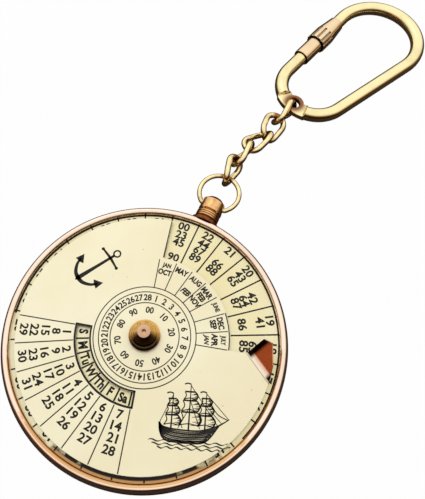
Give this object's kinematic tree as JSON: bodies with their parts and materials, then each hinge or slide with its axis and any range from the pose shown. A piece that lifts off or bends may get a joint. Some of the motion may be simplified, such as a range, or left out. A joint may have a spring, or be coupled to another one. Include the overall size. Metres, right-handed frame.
{
  "type": "perpetual calendar keyring",
  "caption": "Round perpetual calendar with a turning dial and finger tab on a twisted chain, with a screw-lock shackle for keys.",
  "frame": {"origin": "on the dial's axis at the flat case back", "axes": "+Z out of the case back towards the dial, +Y from the case towards the pendant, chain and shackle"},
  "size_m": [0.0513, 0.1184, 0.0078],
  "materials": {
    "case_copper": "polished",
    "bezel_copper": "polished",
    "printed_brass": "satin",
    "inner_brass": "turned",
    "knob_copper": "turned",
    "dark_copper": "aged",
    "neck_copper": "polished",
    "wire_brass": "polished",
    "shackle_brass": "polished",
    "lock_brass": "polished"
  },
  "bodies": {
    "case": {"case_pan": "case_copper", "bezel_ring": "bezel_copper", "year_disc": "printed_brass", "support_bush": "inner_brass", "pivot_stud": "inner_brass", "spacer_washer": "inner_brass", "spring_washer": "inner_brass", "pivot_knob": "knob_copper", "neck_collar": "dark_copper", "pendant_neck": "neck_copper"},
    "dial": {"calendar_dial": "printed_brass"},
    "bow": {"bow_ring": "wire_brass"},
    "link_1": {"chain_link_1": "wire_brass"},
    "link_2": {"chain_link_2": "wire_brass"},
    "link_3": {"chain_link_3": "wire_brass"},
    "link_4": {"chain_link_4": "wire_brass"},
    "link_5": {"chain_link_5": "wire_brass"},
    "shackle": {"shackle_rod": "shackle_brass"},
    "sleeve": {"lock_sleeve": "lock_brass"},
    "nut": {"thumb_nut": "lock_brass"}
  },
  "joints": [
    {"name": "dial_spin", "type": "hinge", "parent": "case", "child": "dial", "pos_m": [0, 0, 0], "axis": [0, 0, 1], "continuous": true},
    {"name": "bow_swing", "type": "hinge", "parent": "case", "child": "bow", "pos_m": [0, 0.0288, 0.0027], "axis": [1, 0, 0], "range_deg": [-95, 110]},
    {"name": "link_1_swing", "type": "hinge", "parent": "bow", "child": "link_1", "pos_m": [0, 0.0358, 0.0027], "axis": [-1, 0, 0], "range_deg": [-50, 50]},
    {"name": "link_2_swing", "type": "hinge", "parent": "link_1", "child": "link_2", "pos_m": [0.0001, 0.04055, 0.00286], "axis": [0.7074, 0.0123, -0.7067], "range_deg": [-50, 50]},
    {"name": "link_3_swing", "type": "hinge", "parent": "link_2", "child": "link_3", "pos_m": [0.00139, 0.04499, 0.00278], "axis": [0.0888, -0.0042, -0.996], "range_deg": [-50, 50]},
    {"name": "link_4_swing", "type": "hinge", "parent": "link_3", "child": "link_4", "pos_m": [0.00369, 0.04897, 0.00282], "axis": [-0.4896, 0.2992, -0.819], "range_deg": [-50, 50]},
    {"name": "link_5_swing", "type": "hinge", "parent": "link_4", "child": "link_5", "pos_m": [0.00386, 0.05363, 0.00272], "axis": [-0.9797, 0.0999, 0.1736], "range_deg": [-50, 50]},
    {"name": "shackle_swing", "type": "hinge", "parent": "link_5", "child": "shackle", "pos_m": [0.00554, 0.05796, 0.00272], "axis": [-0.2884, 0.0586, 0.9557], "range_deg": [-40, 55]},
    {"name": "sleeve_slide", "type": "slide", "parent": "shackle", "child": "sleeve", "axis": [0.2795, 0.96, -0.0156], "range_m": [0, 0.003]},
    {"name": "nut_turn", "type": "hinge", "parent": "sleeve", "child": "nut", "pos_m": [0.00119, 0.06601, 0.00263], "axis": [0.2795, 0.96, -0.0156], "range_deg": [0, 1440]}
  ],
  "couplings": [
    {"joint": "nut_turn", "follows": "sleeve_slide", "rad_per_m": 8377.6}
  ]
}
